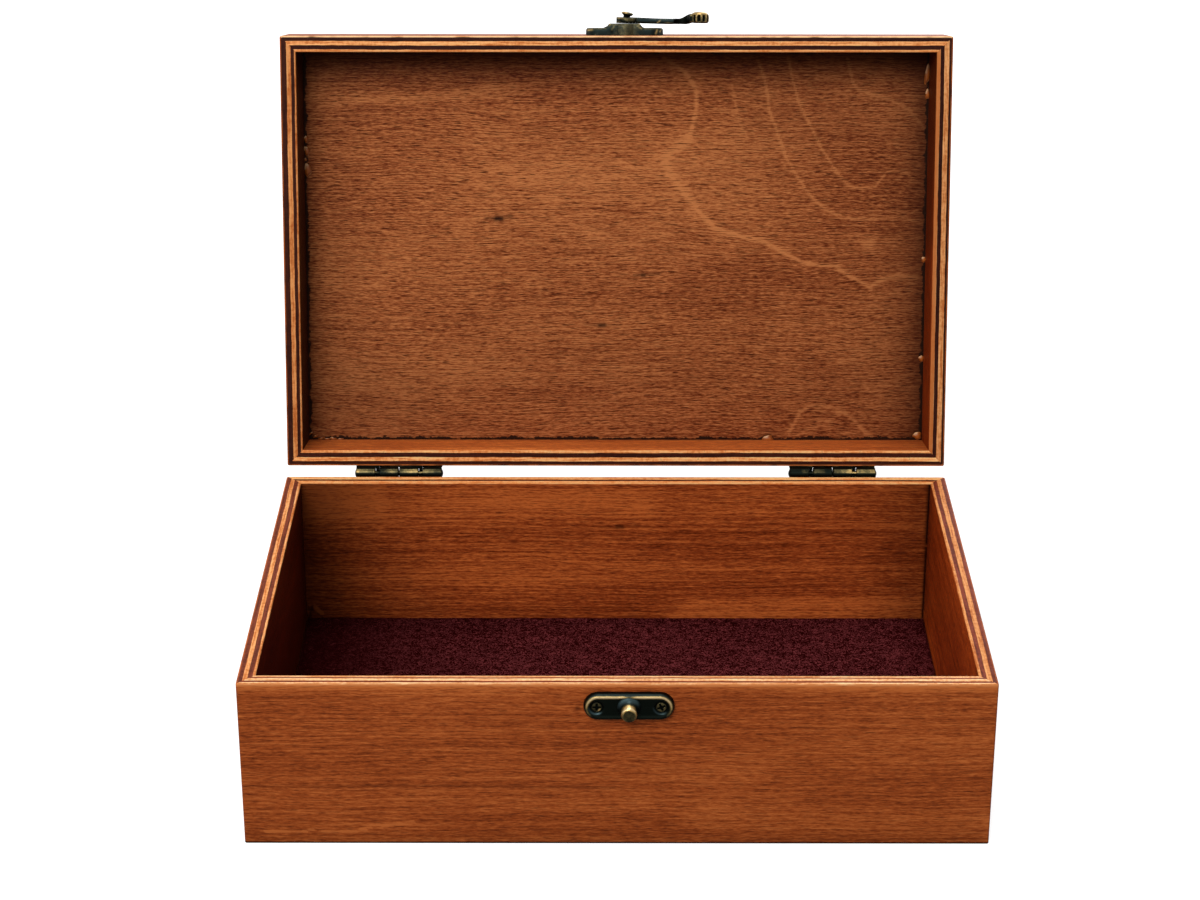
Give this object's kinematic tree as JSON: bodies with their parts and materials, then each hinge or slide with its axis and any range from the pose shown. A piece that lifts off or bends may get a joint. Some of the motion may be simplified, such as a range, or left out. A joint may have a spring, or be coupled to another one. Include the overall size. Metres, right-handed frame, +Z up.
{
  "type": "hinged keepsake box",
  "caption": "Open wooden keepsake box with a felt floor, a hinged lid that stands open on its stops, and a swing latch that hooks a stud on the front.",
  "frame": {"origin": "middle of the box's underside, on the surface that it stands on", "axes": "+X to the right and along the hinge axis, +Y to the back, +Z up"},
  "size_m": [0.25, 0.2386, 0.2264],
  "materials": {
    "stained_plywood": "stained and lacquered five-ply",
    "stained_panel": "stained and lacquered thin plywood",
    "felt": "matt burgundy felt",
    "antique_bronze": "dark antique bronze, worn to brass on its edges",
    "worn_brass": "worn antique brass"
  },
  "bodies": {
    "box": {"box_front_wall": "stained_plywood", "box_back_wall": "stained_plywood", "box_left_wall": "stained_plywood", "box_right_wall": "stained_plywood", "box_bottom_panel": "stained_panel", "felt_liner": "felt", "left_hinge_box_leaf": "antique_bronze", "left_hinge_pin": "worn_brass", "left_hinge_box_screws": "worn_brass", "right_hinge_box_leaf": "antique_bronze", "right_hinge_pin": "worn_brass", "right_hinge_box_screws": "worn_brass", "catch_plate": "antique_bronze", "catch_screws": "worn_brass"},
    "lid": {"lid_front_rail": "stained_plywood", "lid_back_rail": "stained_plywood", "lid_left_rail": "stained_plywood", "lid_right_rail": "stained_plywood", "lid_top_panel": "stained_panel", "left_hinge_lid_leaf": "antique_bronze", "left_hinge_lid_screws": "worn_brass", "right_hinge_lid_leaf": "antique_bronze", "right_hinge_lid_screws": "worn_brass", "latch_plate": "antique_bronze", "latch_rivet": "worn_brass", "latch_screws": "worn_brass"},
    "latch_arm": {"latch_arm": "antique_bronze"}
  },
  "joints": [
    {"name": "lid_hinge", "type": "hinge", "parent": "box", "child": "lid", "pos_m": [0, 0.0838, 0.06115], "axis": [1, 0, 0], "range_deg": [0, 104.3]},
    {"name": "latch_swing", "type": "hinge", "parent": "lid", "child": "latch_arm", "pos_m": [0.0039, 0.13676, 0.21772], "axis": [0, 0.247, 0.969], "range_deg": [-90, 180]}
  ]
}
